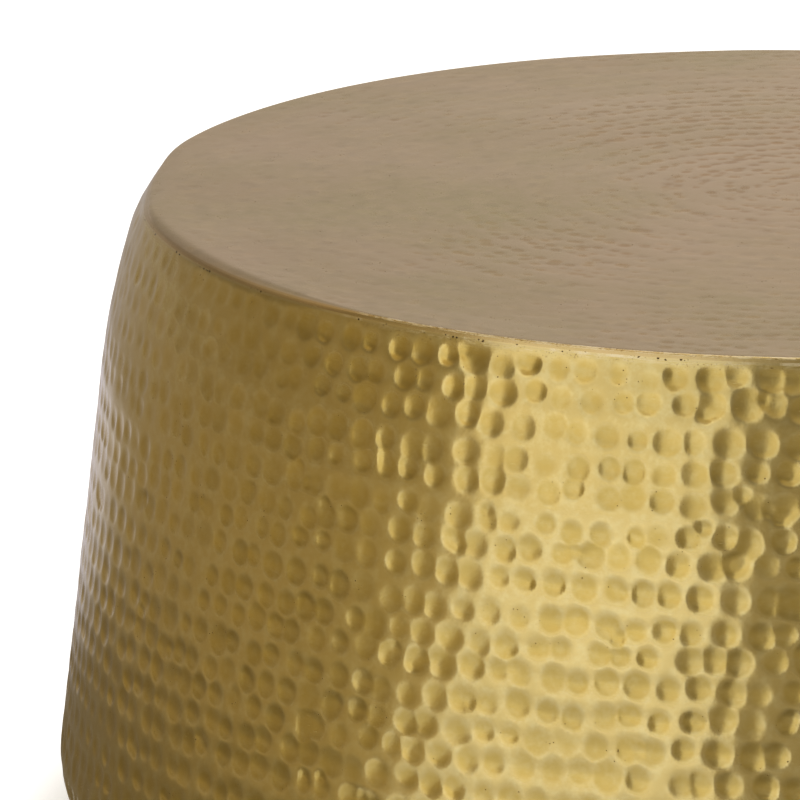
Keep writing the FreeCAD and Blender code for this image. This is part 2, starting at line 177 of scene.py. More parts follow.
# Spread of hand work: where a row starts, where a blow falls along and across its row, and the blow's
# size, depth and lean. A row also bends up and down on its way round.
START_SPREAD, PLACE_SPREAD, STRAY_SPREAD = 0.12, 0.11, 0.55
SIZE_SPREAD, HEIGHT_SPREAD = 0.09, 0.06
DEPTH_SPREAD, LEAST_DEPTH, MOST_DEPTH = 0.22, 0.4, 1.5
LEAN_ALONG_SPREAD, LEAN_UP_SPREAD = 0.2, 0.18
ROW_BENDS = 3

# Some blows are struck twice: a smaller and deeper dish close to the first
TWICE_SHARE, TWICE_SIZE, TWICE_DEPTH = 0.16, 0.72, 1.15
TWICE_ALONG, TWICE_UP = 0.003, 0.0025


def strike_row(chance, way, section_point, tilt, start):
    """The blows of one row round the drum, at a point of its section and its normal's tilt."""
    count = round(2 * math.pi * section_point.x / way.blow_pitch)
    bend = chance.uniform(0, 2 * math.pi)
    blows = []
    for number in range(count):
        turn = 2 * math.pi * (number + start + chance.normal(0, PLACE_SPREAD)) / count
        across = Vector((math.cos(turn), math.sin(turn), 0))
        along = Vector((-across.y, across.x, 0))
        up = Vector((0, 0, math.cos(tilt))) - across * math.sin(tilt)
        rise = way.wander * (chance.normal(0, STRAY_SPREAD) + math.sin(ROW_BENDS * turn + bend))
        middle = across * section_point.x + Vector((0, 0, section_point.z)) + up * rise
        scale = chance.normal(1, SIZE_SPREAD)
        depth = way.depth * min(max(chance.normal(1, DEPTH_SPREAD), LEAST_DEPTH), MOST_DEPTH)
        blow = Blow(middle, along, up, way.half_width * scale,
                    way.half_height * scale * chance.normal(1, HEIGHT_SPREAD), depth,
                    chance.normal(0, LEAN_ALONG_SPREAD), chance.normal(way.lean, LEAN_UP_SPREAD),
                    chance.uniform(0, 1))
        blows.append(blow)
        if chance.uniform(0, 1) < TWICE_SHARE:
            shift = along * chance.normal(0, TWICE_ALONG) + up * chance.normal(0, TWICE_UP)
            blows.append(blow._replace(middle=middle + shift, depth=depth * TWICE_DEPTH,
                                       half_width=blow.half_width * TWICE_SIZE,
                                       half_height=blow.half_height * TWICE_SIZE))
    return blows


def strike_rows(way, section, seed):
    """All blows of a way of hammering. The section gives a row's point and tilt from its run."""
    chance = np.random.default_rng(seed)
    blows = []
    for row in range(way.rows):
        section_point, tilt = section(way.first_run + row * way.row_pitch)
        start = row % 2 / 2 + chance.normal(0, START_SPREAD)
        blows += strike_row(chance, way, section_point, tilt, start)
    return blows


def wall_point(run):
    """Point of the wall's section and its tilt, at a distance down the skin from the top."""
    shoulder_run = SHOULDER_RADIUS * (EDGE_TILT - FLANK_TILT)
    flank_run = (belly_top - flank_top).length
    if run < shoulder_run:
        tilt = EDGE_TILT - run / SHOULDER_RADIUS
        return on_arc(shoulder_centre, SHOULDER_RADIUS, tilt), tilt
    if run < shoulder_run + flank_run:
        return flank_top + flank_slope.normalized() * (run - shoulder_run), FLANK_TILT
    tilt = FLANK_TILT - (run - shoulder_run - flank_run) / BELLY_RADIUS
    return on_arc(belly_centre, BELLY_RADIUS, tilt), tilt


def reach_of(points):
    """Each point's distance from the drum's axis."""
    return np.hypot(points[:, 0], points[:, 1])


def turn_of(points):
    """Each point's angle round the drum's axis."""
    return np.arctan2(points[:, 1], points[:, 0])


# The rim is beaten over softly in places, most at one side, where it is pushed in. For each soft place:
# its middle and spread in degrees, how wide it is beaten, and the shares of that which it goes in and down.
SoftRim = namedtuple("SoftRim", "side spread width inwards down")
SOFT_RIM = (SoftRim(180, 10.5, 0.0185, 0.22, 0.05), SoftRim(209, 20, 0.009, 0.17, 0.17),
            SoftRim(104, 9, 0.0025, 0.2, 0.2), SoftRim(62, 12, 0.003, 0.2, 0.2),
            SoftRim(20, 18, 0.006, 0.2, 0.2), SoftRim(-42, 14, 0.004, 0.2, 0.2))
LEAST_WIDTH = 1e-6
CRISP_WIDTHS = (0.005, 0.001)


def soft_width(points, rim):
    """How wide a soft place of the rim is beaten over at each point's side of the drum."""
    aside = (np.degrees(turn_of(points)) - rim.side + 180) % 360 - 180
    return LEAST_WIDTH + rim.width * np.exp(-np.abs(aside / rim.spread) ** 3)


def beaten_width(points):
    """How wide the rim is beaten over at each point's side, by all its soft places."""
    return sum(soft_width(points, rim) for rim in SOFT_RIM)


def crisp_rim(points):
    """One where the rim was left crisp and filed, nought where it was beaten over."""
    return smooth_step(beaten_width(points), *CRISP_WIDTHS)


# Where the top and its lip would meet if the rim weren't rounded: reach and level
LIP_SET_BACK = 0.00085
RIM_CORNER = (TOP_RADIUS - LIP_SET_BACK, TOP_LEVEL)

# The rim's line wavers a little, as hand work does, in waves round the drum: their number, start and share
RIM_WAVER, WAVER_BAND = 0.0004, 0.030
RIM_WAVES = ((7, 1.1, 0.2), (11, 4.0, 0.18), (19, 2.3, 0.12))
NEAR_AXIS = 0.01


def mesh_points(mesh):
    """A mesh's vertices as an array."""
    points = np.empty(len(mesh.vertices) * 3)
    mesh.vertices.foreach_get("co", points)
    return points.reshape(-1, 3)


def soften_rim(piece):
    """Beat the rim over where it is soft, and let its line waver."""
    points = mesh_points(piece.data)
    reach = reach_of(points)
    apart = np.hypot(reach - RIM_CORNER[0], points[:, 2] - RIM_CORNER[1])
    waver = np.full(len(points), 0.5)
    for waves, start, share in RIM_WAVES:
        waver += share * np.sin(waves * turn_of(points) + start)
    inwards = RIM_WAVER * waver * smooth_step(apart, WAVER_BAND, 0)
    down = np.zeros(len(points))
    for rim in SOFT_RIM:
        width = soft_width(points, rim)
        beaten = width * np.clip(1 - apart / width, 0, 1) ** 2
        inwards += rim.inwards * beaten
        down += rim.down * beaten
    points[:, :2] *= (1 - inwards / reach.clip(NEAR_AXIS))[:, None]
    points[:, 2] -= down
    piece.data.vertices.foreach_set("co", points.ravel())


WAVE_COUNT = 14


def slow_waves(points, seed, lengths, depth):
    """Gentle unevenness of beaten sheet: waves of several lengths, half the depth in and half out."""
    chance = np.random.default_rng(seed)
    total = np.zeros(len(points))
    for _ in range(WAVE_COUNT):
        direction = chance.normal(0, 1, 3)
        direction *= 2 * math.pi / (np.linalg.norm(direction) * chance.uniform(*lengths))
        total += np.sin(points @ direction + chance.uniform(0, 2 * math.pi))
    return depth * np.clip(total / WAVE_COUNT, -0.5, 0.5)


def with_force(blows, force):
    """The blows with their depths scaled, each by its own force."""
    return [blow._replace(depth=blow.depth * share) for blow, share in zip(blows, force)]


WALL_HAMMERING = Hammering(rows=25, first_run=0.0065, row_pitch=0.0147, blow_pitch=0.0143,
                           half_width=0.0066, half_height=0.0068, depth=0.00055, lean=-0.42, wander=0.0016)
WALL_SEED = 41
wall_blows = strike_rows(WALL_HAMMERING, wall_point, WALL_SEED)

# The blows are light near the soft places of the rim, and stronger in some parts of the wall than others
LIGHT_SHARE, LIGHT_WIDTHS, LIGHT_LEVELS = 0.65, (0.001, 0.009), (0.22, 0.32)
FORCE_SWING, FORCE_SEED, FORCE_LENGTHS = 0.6, 1687, (0.12, 0.3)
places = np.array([blow.middle for blow in wall_blows])
lightly = smooth_step(beaten_width(places), *LIGHT_WIDTHS) * smooth_step(places[:, 2], *LIGHT_LEVELS)
swing = slow_waves(places, FORCE_SEED, FORCE_LENGTHS, FORCE_SWING)
wall_blows = with_force(wall_blows, (1 - LIGHT_SHARE * lightly) * (1 + swing))


def wall_normals(points):
    """Outward normals of the smooth drum at points of its skin."""
    tilt = np.full(len(points), FLANK_TILT)
    for centre, here in ((shoulder_centre, points[:, 2] > flank_top.z),
                         (belly_centre, points[:, 2] < belly_top.z)):
        tilt[here] = np.arctan2(points[here, 2] - centre.z, reach_of(points[here]) - centre.x)
    turn = turn_of(points)
    return np.stack([np.cos(tilt) * np.cos(turn), np.cos(tilt) * np.sin(turn), np.sin(tilt)], axis=1)


def keep_attribute(mesh, name, values):
    """Keep a value for each vertex, for the material to read."""
    mesh.attributes.new(name, "FLOAT", "POINT").data.foreach_set("value", values)


# Round each dish the sheet gives way in a wider, softer bowl. Dents deeper than the easy depth sink ever
# less and never go through the sheet, and no bump stands out past the widest reach of the belly.
BOWL_REACH, BOWL_SHARE = 1.6, 0.38
EASY_SUNK, MOST_SUNK = 0.00085, 0.00112
BELLY_SPARE = 0.0001
WIDEST = belly_centre.x + BELLY_RADIUS - BELLY_SPARE


def hammer(mesh, blows, normals, waves, full_depth):
    """Sink the struck skin of a mesh by its blows and waves, and keep how deep and in which shade."""
    points = mesh_points(mesh)
    count = len(points)
    struck = np.empty(count)
    mesh.attributes["struck"].data.foreach_get("value", struck)
    skin = KDTree(count)
    for index in np.flatnonzero(struck):
        skin.insert(points[index], index)
    skin.balance()
    depth, bowls, shade = np.zeros(count), np.zeros(count), np.full(count, 0.5)
    for blow in blows:
        reach = BOWL_REACH * max(blow.half_width, blow.half_height)
        near = np.array([index for _, index, _ in skin.find_range(blow.middle, reach)], dtype=int)
        offset = points[near] - np.array(blow.middle)
        along = offset @ np.array(blow.along) / blow.half_width
        up = offset @ np.array(blow.up) / blow.half_height
        away = along ** 2 + up ** 2
        bowls[near] += BOWL_SHARE * blow.depth * np.clip(1 - away / BOWL_REACH ** 2, 0, 1) ** 2
        lean = 1 + blow.lean_along * along + blow.lean_up * up
        dish = blow.depth * np.clip(1 - away, 0, 1) * lean
        deeper = dish > depth[near]
        depth[near[deeper]] = dish[deeper]
        shade[near[deeper]] = blow.shade
    sunk = struck * (depth + bowls + waves)
    spare = MOST_SUNK - EASY_SUNK
    sunk = np.where(sunk > EASY_SUNK, EASY_SUNK + spare * np.tanh((sunk - EASY_SUNK) / spare), sunk)
    sunk = np.maximum(sunk, reach_of(points) - WIDEST)
    points -= normals * sunk[:, None]
    mesh.vertices.foreach_set("co", points.ravel())
    keep_attribute(mesh, "dent", struck * depth / full_depth)
    keep_attribute(mesh, "shade", shade)
    mesh.attributes.remove(mesh.attributes["struck"])


# Unevenness of the wall's sheet, long waves and short ones: seed, shortest and longest wave, and depth
WALL_WAVES = ((7, (0.035, 0.11), 0.0004), (8, (0.015, 0.034), 0.00022))
FILED_HIGHLIGHT_BAND, FILED_HIGHLIGHT_SHARE = 0.009, 0.85


def hammer_wall(piece):
    """Hammer a piece of the drum's wall: its rows run on from piece to piece."""
    points = mesh_points(piece.data)
    waves = sum(slow_waves(points, *wave) for wave in WALL_WAVES)
    hammer(piece.data, wall_blows, wall_normals(points), waves, WALL_HAMMERING.depth)
    # The crisp top of the wall is filed, with a painted highlight on the same band
    edge_filing_and_highlight = crisp_rim(points) * smooth_step(points[:, 2], WALL_TOP - FILED_HIGHLIGHT_BAND, WALL_TOP)
    keep_attribute(piece.data, "edge", FILED_HIGHLIGHT_SHARE * edge_filing_and_highlight)


def add_node(tree, kind, inputs=None, **settings):
    """A shader node with its settings, and its inputs set or linked by name or number."""
    node = tree.nodes.new("ShaderNode" + kind)
    for name, setting in settings.items():
        setattr(node, name, setting)
    for name, source in (inputs or {}).items():
        if isinstance(source, bpy.types.NodeSocket):
            tree.links.new(source, node.inputs[name])
        else:
            node.inputs[name].default_value = source
    return node


def noise(tree, place, scale, detail, roughness=0.5):
    """Cloudy noise round a half, with so many lumps to the metre."""
    inputs = {"Vector": place, "Scale": scale, "Detail": detail, "Roughness": roughness}
    return add_node(tree, "TexNoise", inputs).outputs[0]


def combine(tree, operation, *values):
    """A Math node on its values."""
    return add_node(tree, "Math", dict(enumerate(values)), operation=operation).outputs[0]


def span(tree, value, low, high, to_low=0.0, to_high=1.0):
    """A value's span from low to high, spread smoothly over another."""
    node = add_node(tree, "MapRange", {0: value, 1: low, 2: high, 3: to_low, 4: to_high},
                    interpolation_type="SMOOTHSTEP")
    return node.outputs[0]


def mix_colours(tree, factor, first, second, blend="MIX"):
    """First colour where the factor is nought, second where it is one."""
    node = add_node(tree, "Mix", {0: factor, 6: first, 7: second}, data_type="RGBA", blend_type=blend)
    return node.outputs[2]


def lay_over(tree, under, colour, mask, share):
    """A colour laid over another by a mask, with this share of it where the mask is one."""
    return mix_colours(tree, combine(tree, "MULTIPLY", mask, share), under, colour)


def new_group(name, inputs, outputs):
    """A shader node group: returns its tree, the sockets it is given and those it has to fill."""
    tree = bpy.data.node_groups.new(name, "ShaderNodeTree")
    for direction, sockets in (("INPUT", inputs), ("OUTPUT", outputs)):
        for socket_name, kind in sockets.items():
            tree.interface.new_socket(name=socket_name, in_out=direction,
                                      socket_type="NodeSocket" + kind)
    entry = tree.nodes.new("NodeGroupInput")
    leave = tree.nodes.new("NodeGroupOutput")
    return tree, entry.outputs, leave.inputs


def place_group(tree, group, inputs):
    """A group placed in a material with its own values. Returns its outputs."""
    return add_node(tree, "Group", inputs, node_tree=group).outputs


# Tarnish: small brown specks that gather in places, clouds of duller metal, fine smears of paler metal
SPECK_SCALE, GATHER_SCALE, SMEAR_SCALE = 560.0, 45.0, 150.0
LARGEST_SPECK = 0.31
tarnish, given, wanted = new_group(
    "tarnish", {"Place": "Vector", "Amount": "Float", "Cloud Scale": "Float"},
    {"Specks": "Float", "Clouds": "Float", "Mottle": "Float"})
dots = add_node(tarnish, "TexVoronoi", {"Vector": given["Place"], "Scale": SPECK_SCALE}, feature="F1")
gathered = span(tarnish, noise(tarnish, given["Place"], GATHER_SCALE, 3.0), 0.40, 0.62)
dot_share = combine(tarnish, "MULTIPLY", gathered, given["Amount"])
by_cell = add_node(tarnish, "SeparateColor", {0: dots.outputs["Color"]})
dot_size = combine(tarnish, "MULTIPLY", combine(tarnish, "POWER", by_cell.outputs[0], 2.0), dot_share)
dot_reach = combine(tarnish, "MULTIPLY", dot_size, LARGEST_SPECK)
dot_edge = combine(tarnish, "SUBTRACT", dot_reach, dots.outputs["Distance"])
tarnish.links.new(span(tarnish, dot_edge, 0.0, 0.05), wanted["Specks"])
drift = noise(tarnish, given["Place"], given["Cloud Scale"], 5.0, 0.6)
tarnish.links.new(span(tarnish, drift, 0.35, 0.68), wanted["Clouds"])
smear = noise(tarnish, given["Place"], SMEAR_SCALE, 5.0, 0.65)
tarnish.links.new(span(tarnish, smear, 0.40, 0.68), wanted["Mottle"])

# Rubbing: hair-fine scratches in crossing directions, each given by how it tips and turns
SCRATCH_TURNS = ((0.5, 0.3), (-0.6, 1.4), (1.1, 2.5))
SCRATCH_STRETCH = (70.0, 70.0, 1500.0)
rubbing, given, wanted = new_group("rubbing", {"Place": "Vector"}, {"Lines": "Float"})
lines = 0.0
for tip, turn in SCRATCH_TURNS:
    turned = add_node(rubbing, "Mapping", {"Vector": given["Place"], "Rotation": (tip, 0.5 * tip, turn),
                                           "Scale": SCRATCH_STRETCH}).outputs[0]
    scratches = span(rubbing, noise(rubbing, turned, 2.0, 2.0), 0.70, 0.80)
    lines = combine(rubbing, "MAXIMUM", lines, scratches)
rubbing.links.new(lines, wanted["Lines"])

# Filing and highlight: along an edge, bare bright metal in broken stretches, partly filed metal and partly
# a painted highlight, with brown grime in the low spots
STRETCH_SCALE, STROKE_SCALE, PIT_SCALE = 95.0, 210.0, 950.0
STROKE_STRETCH = (1.0, 1.0, 12.0)
filing_and_highlight, given, wanted = new_group("filing_and_highlight", {"Place": "Vector", "Edge": "Float"},
                                  {"Bright": "Float", "Grime": "Float"})
stretches = noise(filing_and_highlight, given["Place"], STRETCH_SCALE, 4.0, 0.7)
level = add_node(filing_and_highlight, "Mapping", {"Vector": given["Place"], "Scale": STROKE_STRETCH}).outputs[0]
strokes = noise(filing_and_highlight, level, STROKE_SCALE, 3.0)
bare = combine(filing_and_highlight, "MULTIPLY", span(filing_and_highlight, stretches, 0.40, 0.54),
               span(filing_and_highlight, strokes, 0.38, 0.58))
pale_filing_and_highlight = combine(filing_and_highlight, "MULTIPLY", span(filing_and_highlight, given["Edge"], 0.70, 1.0), bare)
filing_and_highlight.links.new(pale_filing_and_highlight, wanted["Bright"])
pits = noise(filing_and_highlight, given["Place"], PIT_SCALE, 2.0)
low = combine(filing_and_highlight, "MULTIPLY", span(filing_and_highlight, pits, 0.60, 0.68), span(filing_and_highlight, stretches, 0.62, 0.42))
grime = combine(filing_and_highlight, "MULTIPLY", span(filing_and_highlight, given["Edge"], 0.35, 0.9), low)
filing_and_highlight.links.new(grime, wanted["Grime"])


def new_material(name, metallic=0.0):
    """A material with its shader, and a piece's own coordinates."""
    material = bpy.data.materials.new(name)
    material.use_nodes = True
    tree = material.node_tree
    shader = tree.nodes["Principled BSDF"]
    shader.inputs["Metallic"].default_value = metallic
    place = add_node(tree, "TexCoord").outputs["Object"]
    return material, tree, shader, place


def kept_value(tree, name):
    """A value that the mesh keeps for each vertex."""
    return add_node(tree, "Attribute", attribute_name=name).outputs["Fac"]


def add_grain(tree, shader, height, strength, distance):
    """Relief of a surface that is too fine for the mesh."""
    bump = add_node(tree, "Bump", {"Height": height, "Strength": strength, "Distance": distance})
    tree.links.new(bump.outputs[0], shader.inputs["Normal"])


SPECK_BROWN = (0.20, 0.13, 0.045, 1)
# Pale filed brass, which also stands in for a painted highlight along the edge
FILED_BRASS_AND_HIGHLIGHT = (0.92, 0.83, 0.60, 1)
GRIME_BROWN = (0.27, 0.17, 0.06, 1)
SPECKS_ON_LAND = 0.3
DARKEST_SHADE, SHADE_SHARE = 0.8, 0.6
BRASS_GRAIN_SCALE = 420.0


def hammered_brass(name, land, dish, dish_span, cloud, cloud_scale, cloud_share, pale, roughness):
    """Beaten brass: buffed pale land, yellower dishes, duller clouds, brown specks, and filed edges with a
    painted highlight.
    """
    material, tree, shader, place = new_material(name, metallic=1.0)
    depth = kept_value(tree, "dent")
    on_slope = combine(tree, "MULTIPLY", span(tree, depth, 0.0, 0.15), span(tree, depth, 0.9, 0.3))
    specked = combine(tree, "MULTIPLY_ADD", on_slope, 1 - SPECKS_ON_LAND, SPECKS_ON_LAND)
    marks = place_group(tree, tarnish, {"Place": place, "Amount": specked, "Cloud Scale": cloud_scale})
    hairs = place_group(tree, rubbing, {"Place": place})["Lines"]
    edge_filing_and_highlight = place_group(tree, filing_and_highlight, {"Place": place, "Edge": kept_value(tree, "edge")})

    sunk = span(tree, depth, *dish_span)
    colour = mix_colours(tree, sunk, land, dish)
    colour = lay_over(tree, colour, cloud, marks["Clouds"], cloud_share)
    colour = lay_over(tree, colour, pale, marks["Mottle"], span(tree, depth, 0.0, 0.35, 0.6, 0.3))
    colour = lay_over(tree, colour, pale, hairs, 0.4)
    shade = combine(tree, "MULTIPLY_ADD", kept_value(tree, "shade"), 1 - DARKEST_SHADE, DARKEST_SHADE)
    colour = mix_colours(tree, SHADE_SHARE, colour, shade, "MULTIPLY")
    colour = lay_over(tree, colour, SPECK_BROWN, marks["Specks"], 0.7)
    # Along the edge, pale filed metal and a painted highlight
    colour = lay_over(tree, colour, FILED_BRASS_AND_HIGHLIGHT, edge_filing_and_highlight["Bright"], 0.75)
    colour = lay_over(tree, colour, GRIME_BROWN, edge_filing_and_highlight["Grime"], 0.7)
    tree.links.new(colour, shader.inputs["Base Color"])

    dull = roughness
    for mask, more in ((sunk, 0.05), (marks["Clouds"], 0.05), (hairs, 0.06), (marks["Specks"], 0.30),
                       (edge_filing_and_highlight["Bright"], 0.25)):
        dull = combine(tree, "MULTIPLY_ADD", mask, more, dull)
    tree.links.new(dull, shader.inputs["Roughness"])

    height = noise(tree, place, BRASS_GRAIN_SCALE, 4.0, 0.6)
    height = combine(tree, "MULTIPLY_ADD", hairs, -0.15, height)
    height = combine(tree, "MULTIPLY_ADD", edge_filing_and_highlight["Bright"], 0.5, height)
    add_grain(tree, shader, height, 0.3, 0.0001)
    return material


wall_brass = hammered_brass(
    "hammered_brass_wall", land=(0.693, 0.55, 0.226, 1), dish=(0.62, 0.465, 0.14, 1),
    dish_span=(0.0, 0.6), cloud=(0.58, 0.447, 0.157, 1), cloud_scale=11.0, cloud_share=0.45,
    pale=(0.75, 0.645, 0.325, 1), roughness=0.14)


def settle(piece, material, node):
    """Give a piece its material and its place in the assembly."""
    piece.data.materials.append(material)
    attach(piece, "root")
    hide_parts(node)


for number in range(1, PANEL_COUNT + 1):
    wall = build_wall_panel(number)
    hammer_wall(wall)
    soften_rim(wall)
    settle(wall, wall_brass, f"wall_panel_{number}")


# Seam straps
# A strip of plain sheet brass behind each butt seam of the wall, brazed on from inside.
# The torch has left it stained brown and straw yellow.

STRAW, TORCH_BROWN, SOOT = (0.58, 0.42, 0.16, 1), (0.30, 0.16, 0.06, 1), (0.06, 0.04, 0.02, 1)
STAIN_SCALE = 24.0

strap_brass, tree, shader, place = new_material("torched_brass", metallic=1.0)
marks = place_group(tree, tarnish, {"Place": place, "Amount": 1.6, "Cloud Scale": 11.0})
stain = noise(tree, place, STAIN_SCALE, 4.0)
colour = mix_colours(tree, span(tree, stain, 0.35, 0.65), STRAW, TORCH_BROWN)
colour = mix_colours(tree, marks["Specks"], colour, SOOT)
tree.links.new(colour, shader.inputs["Base Color"])
tree.links.new(span(tree, stain, 0.3, 0.7, 0.32, 0.55), shader.inputs["Roughness"])


def dress(material, *names):
    """Give carried-over pieces their finish."""
    for name in names:
        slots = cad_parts[name].data.materials
        slots.clear()
        slots.append(material)


dress(strap_brass, *[f"seam_strap_{number}" for number in range(1, PANEL_COUNT + 1)])


# Base ring
# One spun brass ring: a lap behind the foot of the wall, a round belly, a flange and a turned-up curb.
# It is brazed to the wall and hammered with it, so the rows of dents run on over the joint.

LAP_HEIGHT = 0.012
LAP_CLEARANCE = 0.0003
FLANGE_WIDTH = 0.032
CURB_RADIUS = belly_centre.x - FLANGE_WIDTH
CURB_HEIGHT = 0.011
STRUCK_RISE = 0.3 * BELLY_RADIUS
RING_STEPS, RING_COPIES = 1400, 14
RING_RISE_PARTS, BELLY_PARTS, BELLY_LINING_PARTS = 9, 42, 8
level_sheet = Vector((SHEET / math.cos(FLANK_TILT), 0, 0))
lap_inset = Vector(((SHEET + LAP_CLEARANCE) / math.cos(FLANK_TILT), 0, 0))

bm = bmesh.new()
struck = bm.verts.layers.float.new("struck")
ring_top = bm.verts.new(wall_foot)
belly_start = draw_run(bm, ring_top, belly_top, RING_RISE_PARTS)
belly_end = draw_arc(bm, belly_start, belly_centre, FLANK_TILT + math.pi / 2, BELLY_PARTS)
for vertex in bm.verts:
    vertex[struck] = min(max((vertex.co.z - FLANGE_LEVEL) / STRUCK_RISE, 0), 1)
curb_foot = draw_run(bm, belly_end, (CURB_RADIUS, 0, FLANGE_LEVEL))
curb_top = draw_run(bm, curb_foot, (CURB_RADIUS, 0, FLANGE_LEVEL + CURB_HEIGHT))
curb_back = draw_run(bm, curb_top, (CURB_RADIUS + SHEET, 0, FLANGE_LEVEL + CURB_HEIGHT))
flange_inside = draw_run(bm, curb_back, (CURB_RADIUS + SHEET, 0, FLANGE_LEVEL + SHEET))
lining_start = draw_run(bm, flange_inside, (belly_centre.x, 0, FLANGE_LEVEL + SHEET))
lining_end = draw_arc(bm, lining_start, belly_centre, -FLANK_TILT - math.pi / 2, BELLY_LINING_PARTS)
crook_top = wall_foot + flank_slope * (LAP_CLEARANCE + SHEET)
crook_foot = draw_run(bm, lining_end, crook_top + flank_slope * 2 * lap_inset.x - level_sheet)
crook = draw_run(bm, crook_foot, crook_top - lap_inset - level_sheet)
lap_tip = wall_foot - flank_slope * LAP_HEIGHT
lap_inside = draw_run(bm, crook, lap_tip - lap_inset - level_sheet)
lap_outside = draw_run(bm, lap_inside, lap_tip - lap_inset)
lap_root = draw_run(bm, lap_outside, wall_foot - lap_inset)
bm.edges.new((lap_root, ring_top))
turn_round(bm, 2 * math.pi, RING_STEPS, RING_COPIES)
ring = new_piece(bm, "hammered_base_ring")
hammer_wall(ring)
settle(ring, wall_brass, "base_ring")


# Support hoop
# A rolled steel angle inside the shoulder, primed in matt black: its ledge carries the board.
# It is brazed to the wall in places, and its primer is scuffed in patches.

PRIMER_BLACK, PRIMER_GREY = (0.018, 0.018, 0.019, 1), (0.035, 0.034, 0.033, 1)
SCUFF_GREY = (0.16, 0.15, 0.14, 1)
SPECKLE_SCALE, SCUFF_SCALE = 500.0, 32.0

primed_steel, tree, shader, place = new_material("black_primer")
speckle = noise(tree, place, SPECKLE_SCALE, 3.0)
scuff = noise(tree, place, SCUFF_SCALE, 5.0, 0.7)
colour = mix_colours(tree, span(tree, speckle, 0.3, 0.7), PRIMER_BLACK, PRIMER_GREY)
colour = mix_colours(tree, span(tree, scuff, 0.62, 0.72, 0, 0.6), colour, SCUFF_GREY)
tree.links.new(colour, shader.inputs["Base Color"])
tree.links.new(span(tree, scuff, 0.3, 0.7, 0.5, 0.72), shader.inputs["Roughness"])
add_grain(tree, shader, speckle, 0.3, 0.0001)
dress(primed_steel, "support_hoop")


# Backing board
# A disc of medium-density fibreboard that lies on the hoop and keeps the thin top flat.
# It is left bare: pale brown, mottled with pressed fibres.

FIBRE_DARK, FIBRE_PALE = (0.33, 0.21, 0.11, 1), (0.47, 0.33, 0.19, 1)
BLOTCH_BROWN = (0.27, 0.17, 0.09, 1)
FIBRE_SCALE, BLOTCH_SCALE = 210.0, 14.0
FIBRE_STRETCH, FIBRE_TURN = (1.0, 2.2, 1.0), (0, 0, 0.4)

fibreboard, tree, shader, place = new_material("bare_fibreboard")
stretched = add_node(tree, "Mapping", {"Vector": place, "Scale": FIBRE_STRETCH, "Rotation": FIBRE_TURN})
fibres = noise(tree, stretched.outputs[0], FIBRE_SCALE, 6.0, 0.7)
blotch = noise(tree, place, BLOTCH_SCALE, 4.0)
colour = mix_colours(tree, span(tree, fibres, 0.3, 0.7), FIBRE_DARK, FIBRE_PALE)
colour = mix_colours(tree, span(tree, blotch, 0.4, 0.7, 0, 0.4), colour, BLOTCH_BROWN)
tree.links.new(colour, shader.inputs["Base Color"])
shader.inputs["Roughness"].default_value = 0.85
add_grain(tree, shader, fibres, 0.4, 0.0002)
dress(fibreboard, "backing_board")


# Board screws
# Eight zinc-plated steel screws, driven up through the ledge of the hoop into the board.
# The plating is dull, with a greyer bloom in places.

ZINC_GREY, BLOOM_GREY = (0.55, 0.56, 0.55, 1), (0.40, 0.40, 0.36, 1)
BLOOM_SCALE = 320.0

zinc, tree, shader, place = new_material("zinc_plate", metallic=1.0)
bloom = noise(tree, place, BLOOM_SCALE, 4.0)
colour = mix_colours(tree, span(tree, bloom, 0.35, 0.7), ZINC_GREY, BLOOM_GREY)
tree.links.new(colour, shader.inputs["Base Color"])
tree.links.new(span(tree, bloom, 0.3, 0.7, 0.28, 0.48), shader.inputs["Roughness"])
dress(zinc, "board_screws")


# Top sheet
# One disc of sheet brass, planished nearly flat: its hammer marks are shallow and lie in rings.
# The edge is rounded over and turned down as a short lip round the neck of the wall.

EDGE_BEND = 0.001
LIP_FOOT = 0.3426
LIP_LEAN = math.radians(12)
LIP_CLEARANCE = 0.00005
TOP_CELLS = 296
BEND_PARTS = 4

fillet_radius = (LIP_FOOT - WALL_TOP) / (math.sin(EDGE_TILT) - math.sin(LIP_LEAN))
fillet_centre = on_arc(Vector((TOP_RADIUS, 0, WALL_TOP)), fillet_radius, EDGE_TILT)
lip_foot = on_arc(fillet_centre, -fillet_radius, LIP_LEAN)
lip_inside = NECK_RADIUS + LIP_CLEARANCE
lip_turn = math.pi / 2 - LIP_LEAN
flat_radius = RIM_CORNER[0] - EDGE_BEND * math.tan(lip_turn / 2)

# The flat disc: a square grid drawn out to a round, so that its cells stay even
bm = bmesh.new()
struck = bm.verts.layers.float.new("struck")
bmesh.ops.create_grid(bm, x_segments=TOP_CELLS, y_segments=TOP_CELLS, size=1,
                      matrix=Matrix.Translation((0, 0, TOP_LEVEL)))
for vertex in bm.verts:
    x, y = vertex.co.x, vertex.co.y
    vertex.co.x = flat_radius * x * math.sqrt(1 - y * y / 2)
    vertex.co.y = flat_radius * y * math.sqrt(1 - x * x / 2)
    vertex[struck] = 1


def turn_down(bm, rim, reach, level):
    """Extrude an open round rim to another reach and level. Returns the new rim."""
    old_reach = rim[0].verts[0].co.xy.length
    old_level = rim[0].verts[0].co.z
    made = bmesh.ops.extrude_edge_only(bm, edges=rim)["geom"]
    verts = [item for item in made if isinstance(item, bmesh.types.BMVert)]
    scale = reach / old_reach
    bmesh.ops.scale(bm, verts=verts, vec=(scale, scale, 1))
    bmesh.ops.translate(bm, verts=verts, vec=(0, 0, level - old_level))
    return [item for item in made if isinstance(item, bmesh.types.BMEdge) and item.is_boundary]


